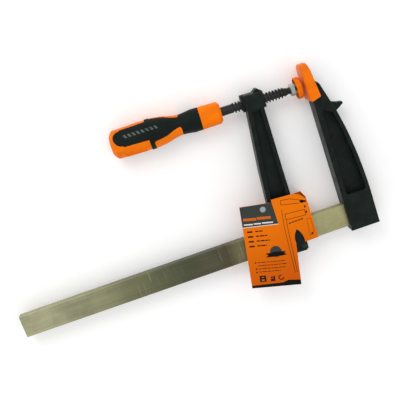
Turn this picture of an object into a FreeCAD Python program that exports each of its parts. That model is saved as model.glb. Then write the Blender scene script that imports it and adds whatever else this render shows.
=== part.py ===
import FreeCAD, Part
import os
import re

import Sketcher

# F clamp lying flat on its side, in millimetres.
# Origin: centre of the fixed pad's contact face. +X runs along the bar towards the back
# of the fixed jaw, +Y points up the jaws away from the bar, +Z through the thickness.
# The sliding arm leans back by its play on the bar, and so do the spindle and handle.
# Distances "back" along the spindle are measured from the fixed pad's face.

V = FreeCAD.Vector
LEAN_AXIS = V(0, 0, -1)

SIZES = {
    # bar
    "bar_free": 330, "bar_high": 22.5, "bar_thick": 8.5, "bar_edge": 0.8, "bar_inset": 0.4,
    # fixed jaw
    "throat": 120, "jaw_deep": 28, "jaw_thick": 24, "jaw_below": 3.8, "jaw_web": 8, "jaw_round": 1.6,
    "inner_flange": 4.5, "outer_flange": 4, "recess_above": 10, "recess_top": 24, "recess_round": 2.2,
    "shoulder_drop": 48, "shoulder_in": 5.9, "neck_drop": 30, "neck_in": 9.6, "belly_in": 2.9,
    "brow_drop": 18.3, "brow_in": 13, "spine_drop": 1.5, "spine_in": 17.8,
    "nose_deep": 4.2, "nose_rise": 6, "nose_top": 16.5, "horn_drop": 24.4, "horn_out": 29.8, "horn_thick": 9,
    "horn_root": 9, "horn_lip": 5.6,
    "rivet_dia": 5, "rivet_first": 13, "rivet_pitch": 11, "bar_fit": 0.04,
    # cap of the fixed jaw
    "cap_face": 2.8, "cap_side": 1.3, "cap_top": 20.5, "cap_foot": 15.3, "cap_cheek": 10.6, "cap_round": 7,
    "cap_edge": 2.2,
    # sliding arm, measured from its lock pin
    "lean": 2, "pin_dia": 4, "pin_back": 45, "pin_gap": 0.1, "pin_fit": 0.05, "slot_play": 0.85,
    "slot_floor": 1, "slot_side": 0.3, "collar_ahead": 3.3, "collar_behind": 30, "collar_thick": 22,
    "collar_below": 4.95, "collar_above": 5.6, "shaft_thick": 20.5, "shaft_behind": 17.7, "shaft_ahead": -1.5,
    "waist_behind": 21.9, "waist_ahead": -0.4, "waist_rise": 80, "foot_behind": 23.9, "foot_ahead": 0.8,
    "shaft_web": 8, "shaft_flange": 4, "shaft_round": 1.5,
    # boss of the sliding arm
    "boss_front": 39.2, "boss_long": 20.8, "boss_thick": 24, "boss_over": 8.8, "boss_under": 6.4,
    "boss_round": 5.5, "boss_chin": 1.1, "boss_slope": 4, "ring_rad": 8.2, "ring_lift": 1.4, "ring_long": 2.6,
    "crest_over": 11.6, "crest_long": 2, "crest_slope": 3.6, "gusset_high": 4.4, "gusset_low": 11,
    # spindle
    "screw_dia": 10, "screw_root": 7, "lead": 3, "screw_fit": 0.06, "thread_back": 68, "thread_front": 21,
    "shank_dia": 8.5, "tang_back": 125, "cone_front": 15, "neck_dia": 5.5, "flare_dia": 6.5,
    "flare_long": 0.9, "journal_dia": 4.8, "groove_dia": 3.6, "groove_long": 1.4, "swivel_fit": 0.05,
    # swivel collar and foot
    "foot_gap": 2.2, "foot_dia": 20.6, "foot_cap_long": 5.5, "foot_cap_wall": 1.2, "plate_thick": 2,
    "ball_dia": 4.4, "ball_back": 6, "mouth_back": 1.2, "hub_dia": 8.8, "stalk_dia": 2.6,
    "collar_gap": 1.1, "ring_dia": 12, "swivel_long": 4.9, "lobes": 12, "lobe_dia": 2.4,
    # handle
    "handle_front": 80.4, "ferrule_dia": 21.1, "ferrule_edge": 2.4, "grip_front": 100.5,
    "grip_front_dia": 21.7, "flare_back": 108, "flare_width": 22, "waist_back": 119, "waist_dia": 19.3,
    "turn_back": 133, "turn_dia": 24.8, "crest_back": 146, "crest_dia": 28.4, "end_back": 183,
    "end_dia": 27.2, "handle_back": 187, "grip_wall": 1.4, "grip_turn": 27, "band_back": 147,
    "band_long": 4, "band_proud": 0.35, "strip_half": 7.6, "window_front": 119.5, "window_half": 8.4,
    "window_round": 1.8,
    # folded retail card and its snap rivet
    "card_thick": 0.6, "card_front": 13.6, "card_back": 12.9, "fold_x": 30.4, "back_drop": 22,
    "slit_side": 6, "slit_above": 1.8, "card_left": 68.6, "tab_left": 79.5, "fold_top": 29,
    "tab_high": 15, "card_rivet_x": 72.8, "card_rivet_y": 24.3, "stud_dia": 3, "head_dia": 5.8,
    "head_high": 0.9,
}

# Places that follow from the sizes above, as expressions of the sheet.
BAR_TOP = "(-throat)"
BAR_LOW = "(-throat - bar_high)"
JAW_LOW = "(-throat - bar_high - jaw_below)"
JAW_BACK = "(cap_face + jaw_deep)"
PIN_X = "(-pin_back)"
PIN_Y = "(-throat - bar_high - pin_dia / 2 - pin_gap)"
REACH = f"(pin_back * sin(lean) - {PIN_Y} * cos(lean))"
FACE_AHEAD = f"(pin_back * cos(lean) + {PIN_Y} * sin(lean))"
SLOT_ROOF = "(pin_dia / 2 + pin_gap + bar_high + slot_play)"
COLLAR_TOP = f"({SLOT_ROOF} + collar_above)"
BOSS_AHEAD = f"({FACE_AHEAD} - boss_front)"
BOSS_BEHIND = f"({FACE_AHEAD} - boss_front - boss_long)"
SWIVEL_FRONT = "(ball_back + mouth_back + collar_gap)"
SWIVEL_BACK = f"({SWIVEL_FRONT} + swivel_long)"
GROOVE_FRONT = f"({SWIVEL_FRONT} + (swivel_long - groove_long) / 2)"
CAP_BACK = "(foot_gap + foot_cap_long)"
PLATE_FRONT = "(foot_gap + foot_cap_wall)"


def bound(text):
    """The expression with every size name pointed at the sheet."""
    return re.sub(r"[a-z]+(_[a-z]+)*", lambda m: f"Sizes.{m[0]}" if m[0] in SIZES else m[0], text)


def number(doc, text):
    """The present value of an expression."""
    value = doc.Sizes.evalExpression(bound(text))
    return float(getattr(value, "Value", value))


def make_sheet(doc):
    sheet = doc.addObject("Spreadsheet::Sheet", "Sizes")
    for row, (name, value) in enumerate(SIZES.items(), start=1):
        sheet.set(f"A{row}", name)
        sheet.set(f"B{row}", str(value))
        sheet.setAlias(f"B{row}", name)
    doc.recompute()
    return sheet


def make_body(doc, name):
    body = doc.addObject("PartDesign::Body", name)
    body.Label = name
    return body


def place(piece, x="0", y="0", z="0"):
    """Put a piece of the frame at a point, unturned."""
    for axis, text in zip("xyz", (x, y, z)):
        piece.setExpression(f"Placement.Base.{axis}", bound(text))


def place_leaning(piece, x, y):
    """Put a piece of the sliding arm at a point, leaning back by the arm's play."""
    piece.Placement = FreeCAD.Placement(V(0, 0, 0), FreeCAD.Rotation(LEAN_AXIS, 1))
    place(piece, x, y)
    piece.setExpression("Placement.Rotation.Angle", bound("lean"))


def open_sketch(body, role, lift="0"):
    """An empty sketch on one of the body's own origin planes, lifted off it."""
    plane = next(feature for feature in body.Origin.OriginFeatures if feature.Role == role)
    sketch = body.newObject("Sketcher::SketchObject", body.Label + "_sketch")
    sketch.AttachmentSupport = (plane, [""])
    sketch.MapMode = "FlatFace"
    sketch.setExpression("AttachmentOffset.Base.z", bound(lift))
    return sketch


def pin_point(sketch, geometry, end, x, y):
    """Hold one point of a sketch at two expressions."""
    for kind, text in (("DistanceX", x), ("DistanceY", y)):
        value = number(sketch.Document, text)
        index = sketch.addConstraint(Sketcher.Constraint(kind, -1, 1, geometry, end, value))
        sketch.setExpression(f"Constraints[{index}]", bound(text))


def draw_outline(sketch, points):
    """A closed outline. A point is (x, y); a third item "by" makes it the middle of an arc."""
    doc = sketch.Document
    spots = [V(number(doc, point[0]), number(doc, point[1]), 0) for point in points]
    corners = [index for index, point in enumerate(points) if len(point) == 2]
    edges = []
    for place_in_list, start in enumerate(corners):
        stop = corners[(place_in_list + 1) % len(corners)]
        middle = (start + 1) % len(points)
        if middle == stop:
            edge = sketch.addGeometry(Part.LineSegment(spots[start], spots[stop]), False)
            edges.append((edge, 1, 2))
            continue
        arc = Part.Arc(spots[start], spots[middle], spots[stop])
        edge = sketch.addGeometry(arc, False)
        forward = sketch.getPoint(edge, 1).distanceToPoint(spots[start]) < 1e-4
        edges.append((edge, 1, 2) if forward else (edge, 2, 1))
        guide = sketch.addGeometry(Part.Point(spots[middle]), True)
        pin_point(sketch, guide, 1, *points[middle][:2])
        sketch.addConstraint(Sketcher.Constraint("PointOnObject", guide, 1, edge))
    for this, following, corner in zip(edges, edges[1:] + edges[:1], corners[1:] + corners[:1]):
        sketch.addConstraint(Sketcher.Constraint("Coincident", this[0], this[2], following[0], following[1]))
        pin_point(sketch, following[0], following[1], *points[corner])


def draw_circle(sketch, x, y, radius):
    doc = sketch.Document
    centre = V(number(doc, x), number(doc, y), 0)
    size = number(doc, radius)
    circle = sketch.addGeometry(Part.Circle(centre, V(0, 0, 1), size), False)
    pin_point(sketch, circle, 3, x, y)
    index = sketch.addConstraint(Sketcher.Constraint("Radius", circle, size))
    sketch.setExpression(f"Constraints[{index}]", bound(radius))


def rectangle(x_low, x_high, y_low, y_high):
    return [(x_low, y_low), (x_high, y_low), (x_high, y_high), (x_low, y_high)]


def soft_rectangle(x_low, x_high, half_wide, radius):
    """A rectangle about the first axis with round corners."""
    near = f"{radius} * (1 - sqrt(0.5))"
    corners = []
    for x, inward, side in ((x_low, 1, -1), (x_high, -1, -1), (x_high, -1, 1), (x_low, 1, 1)):
        along = (f"{x} + {inward} * {radius}", f"{side} * {half_wide}")
        middle = (f"{x} + {inward} * {near}", f"{side} * ({half_wide} - {near})", "by")
        across = (x, f"{side} * ({half_wide} - {radius})")
        corners += [across, middle, along] if inward == -side else [along, middle, across]
    return corners


def extrude(body, sketch, length, kind="Pad", both_ways=True, flip=False):
    """A pad or pocket of a sketch, to both sides of its plane or to one."""
    feature = body.newObject(f"PartDesign::{kind}", f"{body.Label}_{kind.lower()}")
    feature.Profile = sketch
    feature.Midplane = both_ways
    feature.Reversed = flip
    feature.setExpression("Length", bound(length))
    sketch.Visibility = False
    return feature


def outline_block(body, points, thick, role="XY_Plane", kind="Pad"):
    """An outline made solid (or cut away) symmetrically about its plane."""
    sketch = open_sketch(body, role)
    draw_outline(sketch, points)
    return extrude(body, sketch, thick, kind)


def side_pockets(body, points, half, deep):
    """The same recess cut into both broad sides of a casting."""
    sketch = open_sketch(body, "XY_Plane", half)
    draw_outline(sketch, points)
    pocket = extrude(body, sketch, deep, "Pocket", both_ways=False)
    mirror = body.newObject("PartDesign::Mirrored", f"{body.Label}_mirror")
    mirror.Originals = [pocket]
    plane = next(feature for feature in body.Origin.OriginFeatures if feature.Role == "XY_Plane")
    mirror.MirrorPlane = (plane, [""])
    body.Tip = mirror
    return mirror


def turn(body, points, kind="Revolution"):
    """A half section (along, radius) turned round the body's X axis."""
    sketch = open_sketch(body, "XY_Plane")
    draw_outline(sketch, points)
    feature = body.newObject(f"PartDesign::{kind}", f"{body.Label}_{kind.lower()}")
    feature.Profile = sketch
    feature.ReferenceAxis = (sketch, ["H_Axis"])
    feature.Angle = 360
    sketch.Visibility = False
    return feature


def round_edges(body, radius, wanted):
    """Fillet the tip's edges that a test picks out."""
    body.Document.recompute()
    tip = body.Tip
    names = [f"Edge{index}" for index, edge in enumerate(tip.Shape.Edges, start=1) if wanted(edge)]
    fillet = body.newObject("PartDesign::Fillet", f"{body.Label}_fillet")
    fillet.Base = (tip, names)
    fillet.setExpression("Radius", bound(radius))
    return fillet


def along_z(edge, tolerance=1e-3):
    """True for a straight edge that runs through the thickness."""
    box = edge.BoundBox
    return box.XLength < tolerance and box.YLength < tolerance


def at_height(edge, height, tolerance=1e-3):
    """True for an edge that lies in one of the two planes at plus or minus a height."""
    box = edge.BoundBox
    return box.ZLength < tolerance and abs(abs(box.Center.z) - height) < tolerance


def make_bar(doc):
    body = make_body(doc, "bar")
    end = f"({JAW_BACK} - bar_inset)"
    outline_block(body, rectangle("-bar_free", end, BAR_LOW, BAR_TOP), "bar_thick")
    half = number(doc, "bar_thick / 2")
    round_edges(body, "bar_edge", lambda edge: at_height(edge, half) and edge.BoundBox.XLength > 1)
    for position in rivet_places():
        sketch = open_sketch(body, "XY_Plane")
        draw_circle(sketch, position, f"{BAR_TOP} - bar_high / 2", "rivet_dia / 2")
        extrude(body, sketch, "bar_thick", "Pocket")
    return body


def rivet_places():
    first = "(cap_face + rivet_first - rivet_pitch / 2)"
    return [first, f"({first} + rivet_pitch)"]


def make_fixed_jaw(doc):
    body = make_body(doc, "fixed_jaw")
    shoulder = (f"{JAW_BACK} - shoulder_in", "-shoulder_drop")
    neck = (f"{JAW_BACK} - neck_in", "-neck_drop")
    nose_back = "cap_face + nose_deep"
    points = [
        ("cap_face", JAW_LOW), (JAW_BACK, JAW_LOW), (JAW_BACK, f"{BAR_TOP} + recess_above"),
        (f"{JAW_BACK} - belly_in", f"{BAR_TOP} * 0.3 - shoulder_drop * 0.7", "by"), shoulder, neck,
        (f"{JAW_BACK} - brow_in", "-brow_drop"),
        (f"{JAW_BACK} - spine_in", "-spine_drop"), (nose_back, "nose_rise"), (nose_back, "nose_top"),
        ("cap_face", "nose_top"),
    ]
    outline_block(body, points, "jaw_thick")
    half, neck_y = number(doc, "jaw_thick / 2"), number(doc, "-neck_drop - 1")
    round_edges(body, "jaw_round", lambda edge: at_height(edge, half) and edge.BoundBox.YMin < neck_y)
    inner = "cap_face + inner_flange"
    recess = [
        (inner, f"{BAR_TOP} + recess_above"), (f"{JAW_BACK} - outer_flange", f"{BAR_TOP} + recess_above"),
        (f"{JAW_BACK} - belly_in - outer_flange", f"{BAR_TOP} * 0.3 - shoulder_drop * 0.7", "by"),
        (f"{JAW_BACK} - shoulder_in - outer_flange", "-shoulder_drop"),
        (f"{JAW_BACK} - neck_in - outer_flange", "-neck_drop"), (inner, "-recess_top"),
    ]
    side_pockets(body, recess, "jaw_thick / 2", "(jaw_thick - jaw_web) / 2")
    low, high = number(doc, f"{inner} - 1"), number(doc, f"{JAW_BACK} - 2")
    thick = number(doc, "jaw_thick / 2 - 1")
    round_edges(body, "recess_round", lambda edge: along_z(edge) and edge.BoundBox.ZLength < thick
                and low < edge.BoundBox.Center.x < high and edge.BoundBox.Center.y < -10)
    horn = [
        (f"{JAW_BACK} - neck_in - 3", "-horn_drop - horn_root"),
        (f"{JAW_BACK} - neck_in - 0.2", "2 - horn_drop - horn_root"),
        ("horn_out - 4", "-horn_drop - horn_root / 2"), ("horn_out", "-horn_drop - 2"),
        ("horn_out", "-horn_drop - 0.3"), ("horn_out - horn_lip", "0.8 - horn_drop"),
        (f"{JAW_BACK} - neck_in - 2", "3.4 - horn_drop"), (f"{JAW_BACK} - neck_in - 4", "2 - horn_drop"),
    ]
    outline_block(body, horn, "horn_thick")
    slot_low, slot_high = f"{BAR_LOW} - bar_fit", f"{BAR_TOP} + bar_fit"
    slot = rectangle("cap_face - 1", f"{JAW_BACK} + 1", slot_low, slot_high)
    outline_block(body, slot, "bar_thick + 2 * bar_fit", kind="Pocket")
    for position in rivet_places():
        sketch = open_sketch(body, "XY_Plane")
        draw_circle(sketch, position, f"{BAR_TOP} - bar_high / 2", "rivet_dia / 2")
        extrude(body, sketch, "jaw_thick", "Pocket")
    return body


def make_jaw_rivets(doc):
    pins = []
    for index, position in enumerate(rivet_places()):
        pin = doc.addObject("Part::Cylinder", f"jaw_rivet_{index}")
        pin.setExpression("Radius", bound("rivet_dia / 2"))
        pin.setExpression("Height", bound("jaw_thick"))
        place(pin, position, f"{BAR_TOP} - bar_high / 2", "-jaw_thick / 2")
        pins.append(pin)
    group = doc.addObject("Part::Compound", "jaw_rivets")
    group.Links = pins
    return group


def make_jaw_cap(doc):
    body = make_body(doc, "fixed_jaw_cap")
    wide = "(jaw_thick + 2 * cap_side)"
    points = [
        ("0", "-cap_foot"), ("cap_cheek", "3 - cap_foot"), ("cap_cheek - 2.6", "cap_top - 8"),
        ("cap_face + 3.6", "cap_top"), ("0", "cap_top"),
    ]
    outline_block(body, points, wide)
    half = number(doc, f"{wide} / 2")
    top = number(doc, "cap_top")
    round_edges(body, "cap_round", lambda edge: at_side_corner(edge, half, top))
    round_edges(body, "cap_edge", lambda edge: edge.BoundBox.XLength < 1e-3 and edge.BoundBox.Center.x < 1e-3)
    hollow = rectangle("cap_face", "cap_cheek + 1", "-cap_foot - 1", "nose_top")
    outline_block(body, hollow, "jaw_thick", kind="Pocket")
    return body


def at_side_corner(edge, half, top):
    """True for the cap's upper corner edges, where its top meets its broad sides."""
    box = edge.BoundBox
    return abs(abs(box.Center.z) - half) < 1e-3 and box.ZLength < 1e-3 and abs(box.Center.y - top) < 1e-3


def make_lock_pin(doc):
    pin = doc.addObject("Part::Cylinder", "lock_pin")
    pin.setExpression("Radius", bound("pin_dia / 2"))
    pin.setExpression("Height", bound("collar_thick"))
    place(pin, PIN_X, PIN_Y, "-collar_thick / 2")
    return pin


def make_sliding_arm(doc):
    body = make_body(doc, "sliding_arm")
    place_leaning(body, PIN_X, PIN_Y)
    axis = REACH
    gusset_back = f"({BOSS_BEHIND} + ring_long)"
    shaft = [
        ("-foot_behind", COLLAR_TOP), ("foot_ahead", COLLAR_TOP), ("waist_ahead", "waist_rise"),
        ("shaft_ahead", f"{axis} - boss_under"), ("shaft_ahead", axis), (gusset_back, axis),
        (gusset_back, f"{axis} - gusset_high"), ("-shaft_behind", f"{axis} - gusset_low"),
        ("-waist_behind", "waist_rise"),
    ]
    outline_block(body, shaft, "shaft_thick")
    half = number(doc, "shaft_thick / 2")
    top_of_shaft = number(doc, f"{axis} - gusset_low + 0.1")
    round_edges(body, "shaft_round", lambda edge: at_height(edge, half) and edge.BoundBox.YLength > 5
                and edge.BoundBox.YMax < top_of_shaft)
    recess_low, recess_top = f"{COLLAR_TOP} + 5", f"{axis} - boss_under - 1"
    recess = [
        ("shaft_flange - foot_behind", recess_low), ("foot_ahead - shaft_flange", recess_low),
        ("waist_ahead - shaft_flange", "waist_rise"), ("shaft_ahead - shaft_flange", recess_top),
        ("shaft_flange - shaft_behind", recess_top), ("shaft_flange - waist_behind", "waist_rise"),
    ]
    side_pockets(body, recess, "shaft_thick / 2", "(shaft_thick - shaft_web) / 2")
    collar = [
        ("-collar_behind", "-2 - collar_below + pin_dia / 2"), ("-2", "-collar_below"),
        ("collar_ahead - 2", "-collar_below"), ("collar_ahead", "2 - collar_below"),
        ("collar_ahead", f"{COLLAR_TOP} - 1"), ("foot_ahead", f"{COLLAR_TOP} + 1"),
        ("-foot_behind", f"{COLLAR_TOP} + 1"), ("-collar_behind", f"{COLLAR_TOP} - 5"),
    ]
    outline_block(body, collar, "collar_thick")
    half_collar = number(doc, "collar_thick / 2")
    top = number(doc, f"{COLLAR_TOP} + 0.9")
    round_edges(body, "shaft_round", lambda edge: at_height(edge, half_collar) and edge.BoundBox.YMax < top)
    add_boss(body, axis)
    slot = rectangle("-collar_behind - 1", "collar_ahead + 1", "slot_floor", SLOT_ROOF)
    outline_block(body, slot, "bar_thick + 2 * slot_side", kind="Pocket")
    sketch = open_sketch(body, "XY_Plane")
    draw_circle(sketch, "0", "0", "pin_dia / 2 + pin_fit")
    extrude(body, sketch, "collar_thick", "Pocket")
    return body


def add_boss(body, axis):
    """The threaded boss: a rounded block, a ring at its back end and a raised crest."""
    doc = body.Document
    block_back = f"({BOSS_BEHIND} + ring_long)"
    block = [
        (block_back, f"{axis} + boss_over"), (block_back, f"{axis} - boss_under + boss_slope"),
        (f"{block_back} + boss_slope", f"{axis} - boss_under"), (BOSS_AHEAD, f"{axis} - boss_under"),
        (BOSS_AHEAD, f"{axis} + boss_over"),
    ]
    outline_block(body, block, "boss_thick")
    half, middle = number(doc, "boss_thick / 2"), number(doc, axis)
    round_edges(body, "boss_round", lambda edge: at_height(edge, half) and edge.BoundBox.YMin > middle)
    round_edges(body, "boss_chin", lambda edge: at_height(edge, half) and edge.BoundBox.YMax < middle)
    crest = [
        (f"{BOSS_AHEAD} - crest_long - 2.2 * crest_slope", f"{axis} + boss_over - 1"),
        (BOSS_AHEAD, f"{axis} + boss_over - 1"), (f"{BOSS_AHEAD} - crest_slope", f"{axis} + crest_over"),
        (f"{BOSS_AHEAD} - crest_slope - crest_long", f"{axis} + crest_over - 0.2"),
    ]
    outline_block(body, crest, "boss_thick - 2 * boss_round")
    ring = open_sketch(body, "YZ_Plane", BOSS_BEHIND)
    draw_circle(ring, f"{axis} + ring_lift", "0", "ring_rad")
    extrude(body, ring, "ring_long + 1", both_ways=False)
    bore = open_sketch(body, "YZ_Plane", f"{BOSS_BEHIND} - 1")
    draw_circle(bore, axis, "0", "screw_dia / 2 + screw_fit")
    extrude(body, bore, "boss_long + 2", "Pocket", both_ways=False, flip=True)


def make_spindle(doc):
    body = make_body(doc, "spindle")
    place_leaning(body, "0", "0")
    flare_front = f"({SWIVEL_BACK} + 0.2)"
    points = [
        ("-tang_back", "0"), ("-tang_back", "shank_dia / 2"), ("-thread_back - 1.5", "shank_dia / 2"),
        ("-thread_back", "screw_dia / 2"), ("-thread_front", "screw_dia / 2"),
        ("-cone_front", "neck_dia / 2"),
        (f"-{flare_front} - flare_long", "flare_dia / 2"), (f"-{flare_front}", "flare_dia / 2"),
        (f"-{flare_front}", "journal_dia / 2"), (f"-{GROOVE_FRONT} - groove_long", "journal_dia / 2"),
        (f"-{GROOVE_FRONT} - groove_long", "groove_dia / 2"), (f"-{GROOVE_FRONT}", "groove_dia / 2"),
        (f"-{GROOVE_FRONT}", "journal_dia / 2"), (f"-{SWIVEL_FRONT}", "journal_dia / 2"),
        (f"-{SWIVEL_FRONT}", "stalk_dia / 2"), ("-ball_back", "stalk_dia / 2"), ("-ball_back", "0"),
    ]
    turn(body, points)
    ball = [
        ("-ball_back - ball_dia / 2", "0"), ("-ball_back", "ball_dia / 2", "by"),
        ("ball_dia / 2 - ball_back", "0"),
    ]
    turn(body, ball)
    cut_thread(body)
    return body


def cut_thread(body):
    """The trapezoidal groove, cut as a helix round the spindle's axis."""
    deep = "(screw_dia - screw_root) / 2"
    start = "(-thread_back - lead)"
    groove = [
        (f"{start} + 0.32 * lead", "screw_root / 2"), (f"{start} + 0.68 * lead", "screw_root / 2"),
        (f"{start} + 0.86 * lead", f"screw_root / 2 + {deep} + 0.4"),
        (f"{start} + 0.14 * lead", f"screw_root / 2 + {deep} + 0.4"),
    ]
    sketch = open_sketch(body, "XY_Plane")
    draw_outline(sketch, groove)
    helix = body.newObject("PartDesign::SubtractiveHelix", "spindle_thread")
    helix.Profile = sketch
    helix.ReferenceAxis = (sketch, ["H_Axis"])
    helix.Mode = 0
    helix.setExpression("Pitch", bound("lead"))
    helix.setExpression("Height", bound("thread_back - thread_front + 1.5 * lead"))
    sketch.Visibility = False


def make_swivel_collar(doc):
    body = make_body(doc, "swivel_collar")
    place_leaning(body, "0", "0")
    bore = "journal_dia / 2 + swivel_fit"
    lip = "groove_dia / 2 + swivel_fit"
    lip_front, lip_back = f"-{GROOVE_FRONT} - 0.1", f"0.1 - {GROOVE_FRONT} - groove_long"
    points = [
        (f"-{SWIVEL_BACK}", bore), (lip_back, bore), (lip_back, lip), (lip_front, lip), (lip_front, bore),
        (f"-{SWIVEL_FRONT}", bore), (f"-{SWIVEL_FRONT}", "ring_dia / 2 - 0.7"),
        (f"-{SWIVEL_FRONT} - 0.7", "ring_dia / 2"), (f"0.7 - {SWIVEL_BACK}", "ring_dia / 2"),
        (f"-{SWIVEL_BACK}", "ring_dia / 2 - 0.7"),
    ]
    turn(body, points)
    return body


def make_foot_plate(doc):
    body = make_body(doc, "foot_plate")
    place(body, "-ball_back * cos(lean)", "ball_back * sin(lean)")
    rim = "(foot_dia / 2 - foot_cap_wall)"
    front = f"(ball_back - {PLATE_FRONT})"
    points = [
        ("-mouth_back", "0"), ("-mouth_back", "hub_dia / 2 - 0.5"), ("0.5 - mouth_back", "hub_dia / 2"),
        (f"{front} - plate_thick", "hub_dia / 2"), (f"{front} - plate_thick", rim), (front, rim),
        (front, "0"),
    ]
    turn(body, points)
    socket = "(ball_dia / 2 + swivel_fit)"
    ball = [(f"-{socket}", "0"), ("0", socket, "by"), (socket, "0")]
    turn(body, ball, "Groove")
    return body


def make_foot_cap(doc):
    body = make_body(doc, "foot_cap")
    place(body, "-ball_back * cos(lean)", "ball_back * sin(lean)")
    rim = "foot_dia / 2"
    front, back = "(ball_back - foot_gap)", f"(ball_back - {CAP_BACK})"
    points = [
        (f"ball_back - {PLATE_FRONT}", "0"), (f"ball_back - {PLATE_FRONT}", f"{rim} - foot_cap_wall"),
        (back, f"{rim} - foot_cap_wall"), (back, f"{rim} - 0.4"), (f"{back} + 0.4", rim),
        (f"{front} - 1.4", rim), (front, f"{rim} - 1.4"), (front, "0"),
    ]
    turn(body, points)
    sketch = open_sketch(body, "YZ_Plane", back)
    draw_circle(sketch, f"{rim} + lobe_dia * 0.25", "0", "lobe_dia / 2")
    notch = extrude(body, sketch, "foot_cap_long - 2.2", "Pocket", both_ways=False, flip=True)
    pattern = body.newObject("PartDesign::PolarPattern", "foot_cap_lobes")
    pattern.Originals = [notch]
    axis = next(feature for feature in body.Origin.OriginFeatures if feature.Role == "X_Axis")
    pattern.Axis = (axis, [""])
    pattern.Angle = 360
    pattern.setExpression("Occurrences", bound("lobes"))
    body.Tip = pattern
    return body


def handle_profile(skin):
    """The handle's turned outline from its back end to its front, less a skin."""
    def station(back, wide):
        return (f"-{back}", f"{wide} / 2 - {skin}")
    full = "(end_dia + (crest_dia - end_dia) * 0.36)"
    return [
        station("end_back", "end_dia"), station("(end_back * 0.5 + crest_back * 0.5)", full) + ("by",),
        station("crest_back", "crest_dia"),
        station("(crest_back * 0.5 + turn_back * 0.5)", "(crest_dia * 0.62 + turn_dia * 0.38)") + ("by",),
        station("turn_back", "turn_dia"),
        station("(turn_back * 0.5 + waist_back * 0.5)", "(turn_dia * 0.3 + waist_dia * 0.7)") + ("by",),
        station("waist_back", "waist_dia"),
        station("(waist_back * 0.5 + flare_back * 0.5)", "(waist_dia * 0.6 + flare_width * 0.4)") + ("by",),
        station("flare_back", "flare_width"), station("grip_front", "grip_front_dia"),
    ]


def make_handle_grip(doc):
    body = make_body(doc, "handle_grip")
    inner = handle_profile("grip_wall")
    turn(body, handle_profile("0") + inner[::-1])
    band_end = "-band_back - band_long"
    band = rectangle(band_end, "-band_back", "crest_dia / 2 - grip_wall",
                     "crest_dia / 2 + band_proud")
    turn(body, band)
    across = "crest_dia * 2"
    front_window = soft_rectangle("-band_back", "-window_front", "window_half", "window_round")
    outline_block(body, front_window, across, "XZ_Plane", "Pocket")
    back_half = "strip_half * 1.4"
    back_window = rectangle("-end_back - 5", band_end, f"-{back_half}", back_half)
    outline_block(body, back_window, across, "XZ_Plane", "Pocket")
    for side in ("1", "-1"):
        corner = [
            ("-end_back - 1", "0"), ("-end_back", "0"),
            ("-end_back + strip_half * 0.25", f"{side} * strip_half * 0.68", "by"),
            ("-end_back + strip_half", f"{side} * strip_half"),
            ("-end_back + strip_half", f"{side} * strip_half * 1.6"),
            ("-end_back - 1", f"{side} * strip_half * 1.6"),
        ]
        outline_block(body, corner, across, "XY_Plane", "Pocket")
    return body


def turn_handle(piece):
    """Lay a piece of the handle on the spindle's axis, its grip strips turned towards +Z."""
    lean = FreeCAD.Rotation(LEAN_AXIS, number(piece.Document, "lean"))
    roll = FreeCAD.Rotation(V(1, 0, 0), -number(piece.Document, "grip_turn"))
    piece.Placement = FreeCAD.Placement(V(0, 0, 0), lean * roll)


def make_handle(doc):
    """The overmoulded grip, and the core that fills what the grip leaves."""
    grip = make_handle_grip(doc)
    blank = make_body(doc, "handle_blank")
    points = [
        ("-tang_back", "0"), ("-handle_back", "0"), ("-handle_back", "end_dia / 2 - 5"),
        ("-(handle_back - end_back) * 0.34 - end_back", "end_dia / 2 - 1.2", "by"),
    ]
    ferrule = [
        ("-handle_front - ferrule_edge", "ferrule_dia / 2"),
        ("-handle_front", "ferrule_dia / 2 - ferrule_edge"),
        ("-handle_front", "shank_dia / 2"), ("-tang_back", "shank_dia / 2"),
    ]
    turn(blank, points + handle_profile("0") + ferrule)
    for piece in (grip, blank):
        turn_handle(piece)
    core = doc.addObject("Part::Cut", "handle_core")
    core.Base = blank
    core.Tool = grip
    return [core, grip]


def card_outline():
    """The front sheet seen from the front: snug panel, then the hanging panel."""
    low = "(-throat - bar_high)"
    right = "(-fold_x)"
    return [
        ("-62.8", "30.6 - throat"), ("-43.8", "29.3 - throat"), (right + " - 5.2", "26.2 - throat", "by"),
        (right, "18.2 - throat"), (right, f"{low} + 2.9"),
        ("-43.7", f"{low} + 2.6"), ("-44.7", f"{low} + 11.8", "by"), ("-47.9", f"{low} + 17.4"),
        ("-51.5", f"{low} + 12", "by"), ("-52.4", f"{low} + 5"),
        ("-59.9", f"{low} - 37.2"), ("-106.4", f"{low} - 24.8"), ("-93.2", "33.6 - throat"),
        ("-62.8", "27.9 - throat"),
    ]


def make_card(doc):
    """The card: front sheet, fold with a slit for the bar, back panel and tab under the rivet."""
    body = make_body(doc, "hang_card")
    sketch = open_sketch(body, "XY_Plane", "card_front - card_thick")
    draw_outline(sketch, card_outline())
    extrude(body, sketch, "card_thick", both_ways=False)
    right, foot = "(-fold_x)", f"({BAR_LOW} + 3.3)"
    top = "(fold_top - throat)"
    for tab, long in (("-tab_left", "tab_high"), (None, f"{top} - {foot}")):
        strip = open_sketch(body, "XZ_Plane", f"-{top}")
        draw_outline(strip, strip_section(right, "-card_left", tab))
        extrude(body, strip, long, both_ways=False)
    for left, layers in (("-tab_left - 1", 2), ("-card_left + 1", 1)):
        lowered = open_sketch(body, "XY_Plane", f"card_front - {layers} * card_thick")
        draw_outline(lowered, rectangle(left, f"{right} + 1", "back_drop - throat", f"{top} + 1"))
        extrude(body, lowered, "card_front + card_back", "Pocket", both_ways=False)
    slit = rectangle(f"{foot} - 1", f"{BAR_TOP} + slit_above", "-slit_side", "slit_side")
    cut = open_sketch(body, "YZ_Plane", f"{right} - 2")
    draw_outline(cut, slit)
    extrude(body, cut, "4", "Pocket", both_ways=False, flip=True)
    return body


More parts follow.
